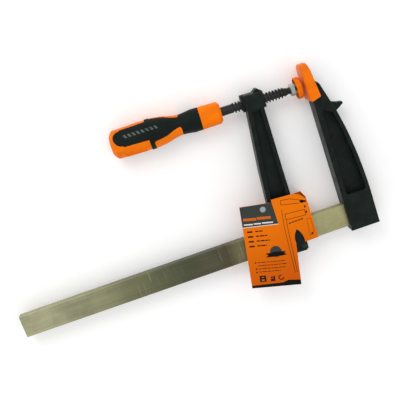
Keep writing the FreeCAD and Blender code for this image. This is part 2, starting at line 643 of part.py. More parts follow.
def strip_section(right, left, tab):
    """The folded strip seen along Y: down the fold, across the back and up to the front."""
    deep, front = "-card_back", "(card_front - card_thick)"
    outer = [(right, front), (right, deep)]
    inner = [(f"{right} - card_thick", f"{deep} + card_thick"), (f"{right} - card_thick", front)]
    if tab is None:
        return outer + [(left, deep), (left, f"{deep} + card_thick")] + inner
    under = f"{front} - card_thick"
    wrap = [
        (left + " - card_thick", deep), (left + " - card_thick", under), (tab, under), (tab, front),
        (left, front), (left, f"{deep} + card_thick"),
    ]
    return outer + wrap + inner


def make_card_rivet(doc):
    """A snap rivet in two halves: a domed stud from the front and its socket behind."""
    stud = make_body(doc, "card_rivet_stud")
    socket = make_body(doc, "card_rivet_socket")
    stack = "(2 * card_thick)"
    head = "head_dia / 2"
    turn(stud, [
        (f"-{stack} - 2", "0"), (f"-{stack} - 2", "stud_dia / 2"), ("0", "stud_dia / 2"), ("0", head),
        ("head_high * 0.6", f"{head} * 0.84"), ("head_high", f"{head} * 0.5"), ("head_high", "0"),
    ])
    turn(socket, [
        (f"-{stack}", "stud_dia / 2"), (f"-{stack}", head), (f"-{stack} - 0.8", head),
        (f"-{stack} - 1.6", "stud_dia / 2 + 0.7"), (f"-{stack} - 2", "stud_dia / 2 + 0.7"),
        (f"-{stack} - 2", "stud_dia / 2"),
    ])
    for half in (stud, socket):
        half.Placement = FreeCAD.Placement(V(0, 0, 0), FreeCAD.Rotation(V(0, 1, 0), -90))
        place(half, "-card_rivet_x", "card_rivet_y - throat", "card_front")
    return [stud, socket]


def punch_card(doc, card):
    """The rivet's hole through both sheets of the card."""
    sketch = open_sketch(card, "XY_Plane", "card_front + 1")
    draw_circle(sketch, "-card_rivet_x", "card_rivet_y - throat", "stud_dia / 2")
    extrude(card, sketch, "1 + 3 * card_thick", "Pocket", both_ways=False)


def check_document(doc):
    """Stop if any object failed or holds no valid shape."""
    for item in doc.Objects:
        if "Invalid" in item.State or "Error" in item.State:
            raise RuntimeError(f"{item.Label} failed: {item.State}")


def export_parts(pieces):
    os.makedirs("parts", exist_ok=True)
    for piece in pieces:
        if piece.Shape.isNull() or not piece.Shape.isValid():
            raise RuntimeError(f"{piece.Label} has no valid shape")
        piece.Shape.exportStep(f"parts/{piece.Label}.step")


def main():
    doc = FreeCAD.newDocument("FClamp")
    make_sheet(doc)
    card = make_card(doc)
    pieces = [make_bar(doc), make_fixed_jaw(doc), make_jaw_rivets(doc), make_jaw_cap(doc)]
    pieces += [make_lock_pin(doc), make_sliding_arm(doc), make_spindle(doc), make_swivel_collar(doc)]
    pieces += [make_foot_plate(doc), make_foot_cap(doc)]
    pieces += make_handle(doc)
    pieces += make_card_rivet(doc)
    punch_card(doc, card)
    pieces.append(card)
    doc.recompute()
    check_document(doc)
    export_parts(pieces)


main()
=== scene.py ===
"""The looks of an F clamp lying on its side: a flat zinc bar, two black castings, a screw
spindle with a two-part handle, an orange pad and foot, and a folded retail card.

Everything is in metres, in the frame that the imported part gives.
"""

import logging
import math
from dataclasses import dataclass
from enum import Enum
from typing import Callable, Sequence

import bmesh
import bpy
from mathutils import Matrix, Vector
from mathutils.bvhtree import BVHTree


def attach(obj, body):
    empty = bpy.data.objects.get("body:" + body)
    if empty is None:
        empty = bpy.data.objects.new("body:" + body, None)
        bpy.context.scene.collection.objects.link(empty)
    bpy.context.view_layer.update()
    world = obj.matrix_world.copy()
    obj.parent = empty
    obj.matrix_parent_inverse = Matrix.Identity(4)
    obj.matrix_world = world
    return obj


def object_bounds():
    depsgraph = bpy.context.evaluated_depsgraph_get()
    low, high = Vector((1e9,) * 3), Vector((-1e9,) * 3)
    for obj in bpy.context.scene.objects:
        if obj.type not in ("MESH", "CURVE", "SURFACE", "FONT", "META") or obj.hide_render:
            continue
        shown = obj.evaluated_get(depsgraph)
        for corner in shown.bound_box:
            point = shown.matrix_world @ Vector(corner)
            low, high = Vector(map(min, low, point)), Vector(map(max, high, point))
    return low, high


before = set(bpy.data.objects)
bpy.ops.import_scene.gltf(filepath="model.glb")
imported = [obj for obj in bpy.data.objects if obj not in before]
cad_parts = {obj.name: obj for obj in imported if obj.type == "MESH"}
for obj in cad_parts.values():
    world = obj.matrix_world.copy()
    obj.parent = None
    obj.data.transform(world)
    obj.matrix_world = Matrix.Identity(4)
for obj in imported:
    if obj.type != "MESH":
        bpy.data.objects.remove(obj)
CAD_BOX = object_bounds()

log = logging.getLogger("clamp")
MM = 0.001
Colour = tuple[float, float, float]
Point = tuple[float, float]


# ---------------------------------------------------------------- node benches and effects


class Bench:
    """A node tree being laid out: adds nodes, sets them up and joins their sockets."""

    def __init__(self, tree: bpy.types.NodeTree) -> None:
        """Take a tree to work on.

        Args:
            tree: the material's or group's node tree.
        """
        self.tree = tree

    def add(self, kind: str, inputs: dict | None = None, **settings: object) -> bpy.types.Node:
        """Add a node.

        Args:
            kind: the node's type name without "ShaderNode".
            inputs: values or sockets for its inputs, by name or index.
            settings: properties of the node itself.

        Returns:
            The new node.
        """
        node = self.tree.nodes.new("ShaderNode" + kind)
        for name, value in settings.items():
            setattr(node, name, value)
        for name, value in (inputs or {}).items():
            self.feed(node.inputs[name], value)
        return node

    def feed(self, socket: bpy.types.NodeSocket, value: object) -> None:
        """Join a socket to another, or give it a plain value.

        Args:
            socket: the input to fill.
            value: an output socket, or a number or tuple.
        """
        if isinstance(value, bpy.types.NodeSocket):
            self.tree.links.new(value, socket)
        else:
            socket.default_value = value

    def math(self, operation: str, first: object, second: object = 0.5,
             clamp: bool = False) -> bpy.types.NodeSocket:
        """A sum, product or other operation on two values.

        Args:
            operation: the Math node's operation.
            first: the first value or socket.
            second: the second value or socket.
            clamp: whether the result is held between 0 and 1.

        Returns:
            The result's socket.
        """
        node = self.add("Math", {0: first, 1: second}, operation=operation, use_clamp=clamp)
        return node.outputs[0]

    def ramp(self, value: object, low: float, high: float) -> bpy.types.NodeSocket:
        """A value spread smoothly from 0 at low to 1 at high.

        Args:
            value: the value or socket to spread.
            low: where the result is 0.
            high: where the result is 1.

        Returns:
            The result's socket.
        """
        inputs = {"Value": value, "From Min": low, "From Max": high}
        return self.add("MapRange", inputs, interpolation_type="SMOOTHSTEP").outputs[0]

    def mix(self, share: object, first: object, second: object, blend: str = "MIX") -> bpy.types.NodeSocket:
        """A mix of two colours.

        Args:
            share: how much of the second colour shows.
            first: the first colour or socket.
            second: the second colour or socket.
            blend: the blend type.

        Returns:
            The mixed colour's socket.
        """
        node = self.add("Mix", data_type="RGBA", blend_type=blend)
        self.feed(node.inputs[0], share)
        self.feed(node.inputs[6], wide(first))
        self.feed(node.inputs[7], wide(second))
        return node.outputs[2]

    def stops(self, value: object, colours: Sequence[tuple[float, Colour]]) -> bpy.types.NodeSocket:
        """A run of colours over a value.

        Args:
            value: the value or socket that picks the colour.
            colours: (place, colour) pairs in order.

        Returns:
            The colour's socket.
        """
        node = self.add("ValToRGB", {0: value})
        elements = node.color_ramp.elements
        while len(elements) < len(colours):
            elements.new(0.5)
        for element, (where, colour) in zip(elements, colours):
            element.position = where
            element.color = wide(colour)
        return node.outputs[0]

    def coordinates(self, scale: Sequence[float] = (1, 1, 1),
                    turn: Sequence[float] = (0, 0, 0)) -> bpy.types.NodeSocket:
        """The piece's own coordinates, scaled and turned.

        Args:
            scale: how much finer the pattern is along each axis.
            turn: the mapping's rotation in radians.

        Returns:
            The vector's socket.
        """
        source = self.add("TexCoord").outputs["Object"]
        return self.add("Mapping", {"Vector": source, "Scale": scale, "Rotation": turn}).outputs[0]

    def noise(self, vector: object, scale: float, detail: float = 3.0,
              rough: float = 0.55) -> bpy.types.NodeSocket:
        """Plain noise.

        Args:
            vector: where it is read.
            scale: how fine it is, per metre.
            detail: its octaves.
            rough: how strong the fine octaves are.

        Returns:
            The noise value's socket.
        """
        inputs = {"Vector": vector, "Scale": scale, "Detail": detail, "Roughness": rough}
        return self.add("TexNoise", inputs).outputs[0]

    def bump(self, height: object, distance: float, strength: float = 1.0,
             under: object = None) -> bpy.types.NodeSocket:
        """A bumped normal.

        Args:
            height: the height's socket.
            distance: how high a height of 1 stands, in metres.
            strength: the share of it that shows.
            under: a normal that it is laid over.

        Returns:
            The normal's socket.
        """
        inputs = {"Height": height, "Distance": distance, "Strength": strength}
        node = self.add("Bump", inputs)
        if under is not None:
            self.feed(node.inputs["Normal"], under)
        return node.outputs[0]


def wide(colour: object) -> object:
    """A colour with its alpha, or a socket as it is.

    Args:
        colour: three numbers, or a socket.

    Returns:
        Four numbers, or the socket.
    """
    if isinstance(colour, bpy.types.NodeSocket):
        return colour
    return (*colour, 1.0)


def effect(name: str, inputs: Sequence[tuple[str, str, float]], outputs: Sequence[tuple[str, str]],
           lay_out: Callable[[Bench, bpy.types.Node, bpy.types.Node], None]) -> bpy.types.NodeTree:
    """Build a shared effect as a node group, once.

    Args:
        name: the group's name.
        inputs: (name, socket kind, default) of each input.
        outputs: (name, socket kind) of each output.
        lay_out: fills the group, given its bench and its input and output nodes.

    Returns:
        The group.
    """
    if name in bpy.data.node_groups:
        return bpy.data.node_groups[name]
    group = bpy.data.node_groups.new(name, "ShaderNodeTree")
    for label, kind, default in inputs:
        socket = group.interface.new_socket(label, in_out="INPUT", socket_type="NodeSocket" + kind)
        if kind == "Float":
            socket.default_value = default
    for label, kind in outputs:
        group.interface.new_socket(label, in_out="OUTPUT", socket_type="NodeSocket" + kind)
    bench = Bench(group)
    entry = group.nodes.new("NodeGroupInput")
    leave = group.nodes.new("NodeGroupOutput")
    lay_out(bench, entry, leave)
    return group


def edge_wear() -> bpy.types.NodeTree:
    """Where a corner is rubbed: a mask that is broken up by noise.

    Returns:
        The group, with Vector, Reach and Amount in and Mask out.
    """
    def lay_out(bench: Bench, entry: bpy.types.Node, leave: bpy.types.Node) -> None:
        """Fill the group.

        Args:
            bench: the group's bench.
            entry: its input node.
            leave: its output node.
        """
        rounded = bench.add("Bevel", {"Radius": entry.outputs["Reach"]}, samples=6)
        flat = bench.add("NewGeometry").outputs["Normal"]
        along = bench.add("VectorMath", {0: rounded.outputs[0], 1: flat}, operation="DOT_PRODUCT")
        corner = bench.math("SUBTRACT", 1.0, along.outputs["Value"])
        broken = bench.noise(entry.outputs["Vector"], 420.0, 4.0, 0.7)
        worn = bench.math("MULTIPLY", corner, bench.ramp(broken, 0.38, 0.62))
        scaled = bench.math("MULTIPLY", worn, entry.outputs["Amount"], clamp=True)
        bench.feed(leave.inputs["Mask"], scaled)
    inputs = [("Vector", "Vector", 0), ("Reach", "Float", 0.0008), ("Amount", "Float", 4.0)]
    return effect("edge_wear", inputs, [("Mask", "Float")], lay_out)


def cast_skin() -> bpy.types.NodeTree:
    """The pebbled skin of a sand casting under enamel.

    Returns:
        The group, with Vector, Grain and Waves in and Height and Mottle out.
    """
    def lay_out(bench: Bench, entry: bpy.types.Node, leave: bpy.types.Node) -> None:
        """Fill the group.

        Args:
            bench: the group's bench.
            entry: its input node.
            leave: its output node.
        """
        grain = bench.add("TexVoronoi", {"Vector": entry.outputs["Vector"], "Scale": entry.outputs["Grain"]},
                          feature="SMOOTH_F1")
        fine = bench.noise(entry.outputs["Vector"], 1400.0, 2.0)
        waves = bench.add("TexNoise", {"Vector": entry.outputs["Vector"], "Scale": entry.outputs["Waves"],
                                       "Detail": 2.0}).outputs[0]
        pebbles = bench.math("MULTIPLY", grain.outputs["Distance"], 0.55)
        surface = bench.math("ADD", pebbles, bench.math("MULTIPLY", fine, 0.35))
        bench.feed(leave.inputs["Height"], bench.math("ADD", surface, bench.math("MULTIPLY", waves, 0.8)))
        bench.feed(leave.inputs["Mottle"], bench.ramp(waves, 0.35, 0.7))
    inputs = [("Vector", "Vector", 0), ("Grain", "Float", 700.0), ("Waves", "Float", 120.0)]
    return effect("cast_skin", inputs, [("Height", "Float"), ("Mottle", "Float")], lay_out)


def drawn_streaks() -> bpy.types.NodeTree:
    """Fine lengthwise streaks and a few crosswise rubs, as on cold-drawn bar.

    Returns:
        The group, with Vector in and Streaks, Rubs and Stains out.
    """
    def lay_out(bench: Bench, entry: bpy.types.Node, leave: bpy.types.Node) -> None:
        """Fill the group.

        Args:
            bench: the group's bench.
            entry: its input node.
            leave: its output node.
        """
        vector = entry.outputs["Vector"]
        long = bench.add("Mapping", {"Vector": vector, "Scale": (6.0, 900.0, 900.0)}).outputs[0]
        bench.feed(leave.inputs["Streaks"], bench.noise(long, 1.0, 4.0, 0.6))
        across = {"Vector": vector, "Scale": (700.0, 30.0, 40.0), "Rotation": (0, 0, 0.5)}
        rubs = bench.noise(bench.add("Mapping", across).outputs[0], 1.0, 3.0, 0.5)
        bench.feed(leave.inputs["Rubs"], bench.ramp(rubs, 0.62, 0.74))
        bench.feed(leave.inputs["Stains"], bench.ramp(bench.noise(vector, 38.0, 5.0, 0.65), 0.36, 0.68))
    outputs = [("Streaks", "Float"), ("Rubs", "Float"), ("Stains", "Float")]
    return effect("drawn_streaks", [("Vector", "Vector", 0)], outputs, lay_out)


def handling() -> bpy.types.NodeTree:
    """Faint smudges and dust that vary gloss and colour on a handled surface.

    Returns:
        The group, with Vector in and Smudge and Dust out.
    """
    def lay_out(bench: Bench, entry: bpy.types.Node, leave: bpy.types.Node) -> None:
        """Fill the group.

        Args:
            bench: the group's bench.
            entry: its input node.
            leave: its output node.
        """
        vector = entry.outputs["Vector"]
        bench.feed(leave.inputs["Smudge"], bench.ramp(bench.noise(vector, 70.0, 4.0, 0.6), 0.35, 0.7))
        specks = bench.noise(vector, 2600.0, 2.0, 0.5)
        patches = bench.noise(vector, 45.0, 2.0, 0.5)
        dust = bench.math("MULTIPLY", bench.ramp(specks, 0.62, 0.72), bench.ramp(patches, 0.4, 0.7))
        bench.feed(leave.inputs["Dust"], dust)
    return effect("handling", [("Vector", "Vector", 0)], [("Smudge", "Float"), ("Dust", "Float")], lay_out)


# ---------------------------------------------------------------- finishes


@dataclass(frozen=True)
class Finish:
    """A material that is made once and shared by the pieces that wear it."""

    name: str

    def material(self) -> bpy.types.Material:
        """The finish's material, made on first use.

        Returns:
            The material.
        """
        found = bpy.data.materials.get(self.name)
        if found:
            return found
        material = bpy.data.materials.new(self.name)
        material.use_nodes = True
        bench = Bench(material.node_tree)
        shader = material.node_tree.nodes["Principled BSDF"]
        self.lay_out(bench, shader)
        return material

    def lay_out(self, bench: Bench, shader: bpy.types.Node) -> None:
        """Fill the material's nodes.

        Args:
            bench: the material's bench.
            shader: its Principled BSDF.
        """
        raise NotImplementedError

    def group(self, bench: Bench, tree: bpy.types.NodeTree, **inputs: object) -> bpy.types.Node:
        """Place a shared effect.

        Args:
            bench: the material's bench.
            tree: the effect's group.
            inputs: values or sockets for its inputs.

        Returns:
            The group node.
        """
        node = bench.tree.nodes.new("ShaderNodeGroup")
        node.node_tree = tree
        for name, value in inputs.items():
            bench.feed(node.inputs[name], value)
        return node


@dataclass(frozen=True)
class Enamel(Finish):
    """Black enamel over a rough casting, rubbed through on its corners."""

    colour: Colour = (0.0035, 0.0068, 0.0052)
    metal: Colour = (0.10, 0.105, 0.10)
    gloss: float = 0.40
    shine: float = 0.12
    wear_above: float = -1.0

    def lay_out(self, bench: Bench, shader: bpy.types.Node) -> None:
        """Fill the material's nodes.

        Args:
            bench: the material's bench.
            shader: its Principled BSDF.
        """
        where = bench.coordinates()
        skin = self.group(bench, cast_skin(), Vector=where)
        wear = self.group(bench, edge_wear(), Vector=where, Reach=0.0007, Amount=1.1)
        touch = self.group(bench, handling(), Vector=where)
        height = bench.add("SeparateXYZ", {0: where}).outputs[1]
        bare_zone = bench.ramp(height, self.wear_above, self.wear_above + 0.01)
        bared = bench.math("MULTIPLY", wear.outputs["Mask"], bare_zone)
        paint = bench.mix(skin.outputs["Mottle"], self.colour, tuple(1.8 * part for part in self.colour))
        dusty = bench.mix(bench.math("MULTIPLY", touch.outputs["Dust"], 0.12), paint, (0.12, 0.12, 0.11))
        bench.feed(shader.inputs["Base Color"], bench.mix(bared, dusty, self.metal))
        rough = bench.math("ADD", bench.math("MULTIPLY", touch.outputs["Smudge"], 0.14), self.gloss)
        bench.feed(shader.inputs["Roughness"], rough)
        shader.inputs["Specular IOR Level"].default_value = self.shine
        soft = bench.add("Bevel", {"Radius": 0.0006}, samples=4).outputs[0]
        bench.feed(shader.inputs["Normal"], bench.bump(skin.outputs["Height"], 0.0002, 0.7, soft))


@dataclass(frozen=True)
class ZincBar(Finish):
    """Yellowish zinc on drawn flat bar, its colour running darker towards its middle."""

    left: float = -0.330
    right: float = 0.030

    def lay_out(self, bench: Bench, shader: bpy.types.Node) -> None:
        """Fill the material's nodes.

        Args:
            bench: the material's bench.
            shader: its Principled BSDF.
        """
        where = bench.coordinates()
        marks = self.group(bench, drawn_streaks(), Vector=where)
        wear = self.group(bench, edge_wear(), Vector=where, Reach=0.0006, Amount=2.5)
        along = bench.add("SeparateXYZ", {0: where}).outputs[0]
        # The colour runs pale at both ends of the bar and dark about its middle, with a little wander.
        wander = bench.math("MULTIPLY", bench.math("SUBTRACT", bench.noise(where, 14.0, 3.0), 0.5), 0.05)
        share = bench.ramp(bench.math("ADD", along, wander), self.left, self.right)
        tone = bench.stops(share, [
            (0.0, (0.42, 0.41, 0.25)), (0.22, (0.17, 0.175, 0.09)), (0.45, (0.072, 0.08, 0.042)),
            (0.62, (0.075, 0.062, 0.032)), (0.8, (0.33, 0.32, 0.16)), (1.0, (0.42, 0.40, 0.2)),
        ])
        stained = bench.mix(bench.math("MULTIPLY", marks.outputs["Stains"], 0.35), tone, (0.12, 0.115, 0.08))
        streaked = bench.mix(0.35, stained, marks.outputs["Streaks"], "OVERLAY")
        rubbed = bench.mix(bench.math("MULTIPLY", marks.outputs["Rubs"], 0.2), streaked, (0.6, 0.6, 0.5))
        bench.feed(shader.inputs["Base Color"], bench.mix(wear.outputs["Mask"], rubbed, (0.75, 0.75, 0.7)))
        shader.inputs["Metallic"].default_value = 0.75
        rough = bench.math("ADD", bench.math("MULTIPLY", marks.outputs["Streaks"], 0.22), 0.30)
        bench.feed(shader.inputs["Roughness"], rough)
        sunk = bench.math("MULTIPLY", marks.outputs["Rubs"], -0.5)
        height = bench.math("ADD", marks.outputs["Streaks"], sunk)
        bench.feed(shader.inputs["Normal"], bench.bump(height, 0.00005, 0.6))


@dataclass(frozen=True)
class Moulded(Finish):
    """A moulded plastic with fine texture, faint flow marks and handling."""

    colour: Colour = (0.86, 0.20, 0.004)
    gloss: float = 0.34
    grain: float = 1500.0
    relief: float = 0.00004
    scuff: Colour = (0.80, 0.30, 0.05)
    scatter: float = 0.0
    shine: float = 0.25

    def lay_out(self, bench: Bench, shader: bpy.types.Node) -> None:
        """Fill the material's nodes.

        Args:
            bench: the material's bench.
            shader: its Principled BSDF.
        """
        where = bench.coordinates()
        touch = self.group(bench, handling(), Vector=where)
        wear = self.group(bench, edge_wear(), Vector=where, Reach=0.0005, Amount=0.8)
        flow = bench.noise(bench.coordinates((1.0, 4.0, 1.0)), 30.0, 3.0)
        deep = tuple(0.86 * part for part in self.colour)
        base = bench.mix(bench.ramp(flow, 0.35, 0.65), deep, self.colour)
        scuffed = bench.mix(wear.outputs["Mask"], base, self.scuff)
        dusty = bench.mix(bench.math("MULTIPLY", touch.outputs["Dust"], 0.12), scuffed, (0.6, 0.6, 0.58))
        bench.feed(shader.inputs["Base Color"], dusty)
        rough = bench.math("ADD", bench.math("MULTIPLY", touch.outputs["Smudge"], 0.12), self.gloss)
        bench.feed(shader.inputs["Roughness"], rough)
        height = bench.math("ADD", bench.noise(where, self.grain, 2.0), bench.math("MULTIPLY", flow, 0.6))
        soft = bench.add("Bevel", {"Radius": 0.0004}, samples=4).outputs[0]
        bench.feed(shader.inputs["Normal"], bench.bump(height, self.relief, 0.8, soft))
        shader.inputs["Specular IOR Level"].default_value = self.shine
        shader.inputs["Subsurface Weight"].default_value = self.scatter
        shader.inputs["Subsurface Radius"].default_value = (0.002, 0.0006, 0.0002)


@dataclass(frozen=True)
class TurnedSteel(Finish):
    """Turned steel: tool marks round the spindle's axis, oil and bright crests."""

    colour: Colour = (0.02, 0.02, 0.021)
    bright: Colour = (0.22, 0.22, 0.21)
    metallic: float = 0.8
    gloss: float = 0.3
    wear: float = 1.2

    def lay_out(self, bench: Bench, shader: bpy.types.Node) -> None:
        """Fill the material's nodes.

        Args:
            bench: the material's bench.
            shader: its Principled BSDF.
        """
        where = bench.coordinates()
        touch = self.group(bench, handling(), Vector=where)
        rubbed = self.group(bench, edge_wear(), Vector=where, Reach=0.0003, Amount=self.wear)
        rings = bench.noise(bench.coordinates((2200.0, 30.0, 30.0)), 1.0, 2.0)
        tone = bench.mix(touch.outputs["Smudge"], self.colour, tuple(1.6 * part for part in self.colour))
        bench.feed(shader.inputs["Base Color"], bench.mix(rubbed.outputs["Mask"], tone, self.bright))
        shader.inputs["Metallic"].default_value = self.metallic
        rough = bench.math("ADD", bench.math("MULTIPLY", rings, 0.2), self.gloss - 0.08)
        bench.feed(shader.inputs["Roughness"], rough)
        bench.feed(shader.inputs["Normal"], bench.bump(rings, 0.00002, 0.7))


@dataclass(frozen=True)
class Board(Finish):
    """Coated thin card: fibres, faint waves and a printed solid colour, with painted shade that darkens it
    towards its lower end.
    """

    colour: Colour = (0.80, 0.17, 0.0004)
    gloss: float = 0.5
    edge: Colour = (0.62, 0.40, 0.18)
    shine: float = 0.06
    # heights in y for the painted shade: none above the upper one, full below the lower one; the default lies
    # below the card, so the inks get none
    shade_span: tuple[float, float] = (-0.3, -0.29)

    def lay_out(self, bench: Bench, shader: bpy.types.Node) -> None:
        """Fill the material's nodes.

        Args:
            bench: the material's bench.
            shader: its Principled BSDF.
        """
        where = bench.coordinates()
        fibres = bench.noise(bench.coordinates((500.0, 2600.0, 900.0), (0, 0, 0.4)), 1.0, 3.0)
        waves = bench.noise(where, 30.0, 2.0)
        touch = self.group(bench, handling(), Vector=where)
        wear = self.group(bench, edge_wear(), Vector=where, Reach=0.0004, Amount=1.5)
        thin = tuple(0.93 * part for part in self.colour)
        ink = bench.mix(bench.ramp(fibres, 0.3, 0.75), thin, self.colour)
        # Painted shade: the colour is darkened and reddened towards the card's lower end.
        height = bench.add("SeparateXYZ", {0: where}).outputs[1]
        lowness = bench.math("SUBTRACT", 1.0, bench.ramp(height, *self.shade_span))
        shaded = bench.mix(lowness, ink, bench.mix(1.0, ink, (0.72, 0.55, 0.6), "MULTIPLY"))
        bench.feed(shader.inputs["Base Color"], bench.mix(wear.outputs["Mask"], shaded, self.edge))
        rough = bench.math("ADD", bench.math("MULTIPLY", touch.outputs["Smudge"], 0.1), self.gloss)
        bench.feed(shader.inputs["Roughness"], rough)
        shader.inputs["Specular IOR Level"].default_value = self.shine
        relief = bench.math("ADD", bench.math("MULTIPLY", fibres, 0.3), waves)
        bench.feed(shader.inputs["Normal"], bench.bump(relief, 0.00006, 0.6))


@dataclass(frozen=True)
class Studio(Finish):
    """The pale floor's matte paper, lit from beneath a little."""

    glow: float = 0.12

    def lay_out(self, bench: Bench, shader: bpy.types.Node) -> None:
        """Fill the material's nodes.

        Args:
            bench: the material's bench.
            shader: its Principled BSDF.
        """
        where = bench.coordinates()
        tone = bench.mix(bench.noise(where, 8.0, 3.0), (0.9, 0.9, 0.9), (0.93, 0.93, 0.93))
        bench.feed(shader.inputs["Base Color"], tone)
        bench.feed(shader.inputs["Emission Color"], tone)
        shader.inputs["Emission Strength"].default_value = self.glow
        shader.inputs["Roughness"].default_value = 0.9


ENAMEL = Enamel("black_enamel")
JAW_ENAMEL = Enamel("black_jaw_enamel", wear_above=-0.112)
ZINC = ZincBar("yellow_zinc_bar")
ORANGE = Moulded("handle_orange", colour=(0.93, 0.19, 0.0002), scatter=0.03, shine=0.06)
CAP_ORANGE = Moulded("orange_cap", colour=(0.86, 0.17, 0.0004), gloss=0.3, relief=0.00003,
                     scatter=0.03, shine=0.08)
SOFT_BLACK = Moulded("soft_black_grip", colour=(0.005, 0.0095, 0.0072), gloss=0.5, grain=2400.0,
                     relief=0.00008, scuff=(0.02, 0.024, 0.022), shine=0.1)
GRIP_PRINT = Moulded("pale_grip_print", colour=(0.10, 0.12, 0.11), gloss=0.45,
                     scuff=(0.14, 0.15, 0.15), shine=0.1)
SCREW = TurnedSteel("oiled_screw")
YELLOW_ZINC = TurnedSteel("yellow_zinc_plate", colour=(0.55, 0.36, 0.09), bright=(0.8, 0.62, 0.3),
                          metallic=0.9)
BRIGHT = TurnedSteel("bright_zinc_collar", colour=(0.34, 0.35, 0.34), bright=(0.75, 0.75, 0.73),
                     metallic=1.0, gloss=0.28)
PIN = TurnedSteel("blackened_pin", colour=(0.02, 0.021, 0.021), bright=(0.08, 0.08, 0.08), gloss=0.4)
CARD = Board("orange_card", shade_span=(-0.18, -0.10))
DARK_INK = Board("dark_ink", colour=(0.006, 0.006, 0.005), edge=(0.03, 0.03, 0.03))
SLATE_INK = Board("slate_ink", colour=(0.040, 0.048, 0.043), edge=(0.06, 0.07, 0.065))
PALE_INK = Board("pale_ink", colour=(0.72, 0.72, 0.70), edge=(0.8, 0.8, 0.78))
WARM_INK = Board("warm_ink", colour=(0.62, 0.12, 0.004))
RIVET = Moulded("pale_snap_rivet", colour=(0.34, 0.38, 0.37), gloss=0.35, scuff=(0.6, 0.6, 0.6))


def dress(node: str, finish: Finish) -> None:
    """Give a CAD node its finish.

    Args:
        node: the node's name.
        finish: what it wears.
    """
    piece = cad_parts[node]
    piece.data.materials.clear()
    piece.data.materials.append(finish.material())


# ---------------------------------------------------------------- making pieces


def finish_piece(name: str, shape: bmesh.types.BMesh, finish: Finish, body: str) -> bpy.types.Object:
    """Turn a built shape into a dressed piece that rides on a body.

    Args:
        name: the piece's name.
        shape: the built mesh, in the frame's metres. It is freed.
        finish: what the piece wears.
        body: the CAD body that it rides on.

    Returns:
        The new object.
    """
    bmesh.ops.recalc_face_normals(shape, faces=shape.faces)
    mesh = bpy.data.meshes.new(name)
    shape.to_mesh(mesh)
    shape.free()
    mesh.materials.append(finish.material())
    piece = bpy.data.objects.new(name, mesh)
    bpy.context.scene.collection.objects.link(piece)
    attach(piece, body)
    log.info("%s: %d faces on %s", name, len(mesh.polygons), body)
    return piece


def add_plate(shape: bmesh.types.BMesh, corners: Sequence[Vector], rise: Vector) -> None:
    """Add a thin closed plate.

    Args:
        shape: the mesh it joins.
        corners: its lower outline.
        rise: from its lower face to its upper one.
    """
    ring = [shape.verts.new(corner) for corner in corners]
    low = shape.faces.new(ring)
    raised = bmesh.ops.extrude_face_region(shape, geom=[low], use_keep_orig=True)["geom"]
    top = [item for item in raised if isinstance(item, bmesh.types.BMVert)]
    bmesh.ops.translate(shape, verts=top, vec=rise)


# ---------------------------------------------------------------- bar, castings and screw


class Part(Enum):
    """The CAD nodes that wear one finish together."""

    JAW = ("fixed_jaw", "jaw_rivets")
    RIVET = ("card_rivet_stud", "card_rivet_socket")


@dataclass
class Frame:
    """The flat bar with the fixed jaw that is riveted to it, and the jaw's cap."""

    def build(self) -> None:
        """Dress the bar, the jaw, its rivets and its cap."""
        dress("bar", ZINC)
        for node in Part.JAW.value:
            dress(node, JAW_ENAMEL)
        dress("fixed_jaw_cap", CAP_ORANGE)


@dataclass
class Arm:
    """The sliding arm and the pin it rocks on."""

    def build(self) -> None:
        """Dress the casting and its lock pin."""
        dress("sliding_arm", ENAMEL)
        dress("lock_pin", PIN)


@dataclass
class Screw:
    """The spindle with its swivel collar and foot."""

    def build(self) -> None:
        """Dress the spindle, the collar, the foot's plate and its cap."""
        dress("spindle", SCREW)
        dress("swivel_collar", BRIGHT)
        dress("foot_plate", YELLOW_ZINC)
        dress("foot_cap", CAP_ORANGE)


# ---------------------------------------------------------------- handle


